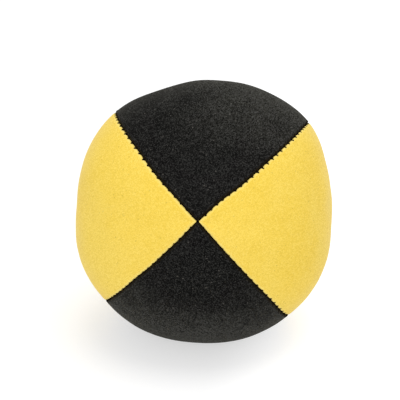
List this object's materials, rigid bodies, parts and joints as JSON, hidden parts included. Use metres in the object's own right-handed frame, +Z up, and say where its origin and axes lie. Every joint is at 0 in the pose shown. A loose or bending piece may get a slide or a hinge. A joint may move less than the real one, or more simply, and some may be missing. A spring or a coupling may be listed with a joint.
{
  "type": "bean bag juggling ball",
  "caption": "Soft round juggling ball of black and yellow suede panels sewn edge to edge from pole to pole and filled with millet, lying on the flat that its fill settles into.",
  "frame": {"origin": "centre of the flat that the ball rests on, on the supporting surface", "axes": "+Z up. The pole where the panels meet in front faces -Y and is tilted up from level, +X is to its right"},
  "size_m": [0.0648, 0.0648, 0.0629],
  "materials": {
    "yellow_suede": "matte",
    "black_suede": "matte",
    "thread": "matte",
    "millet": "satin"
  },
  "bodies": {
    "root": {"panel_right_yellow": "yellow_suede", "panel_top_black": "black_suede", "panel_left_yellow": "yellow_suede", "panel_bottom_black": "black_suede", "seam_thread_upper_right": "thread", "seam_thread_upper_left": "thread", "seam_thread_lower_left": "thread", "seam_thread_lower_right": "thread", "closing_thread": "thread", "fill": "millet"}
  },
  "joints": []
}
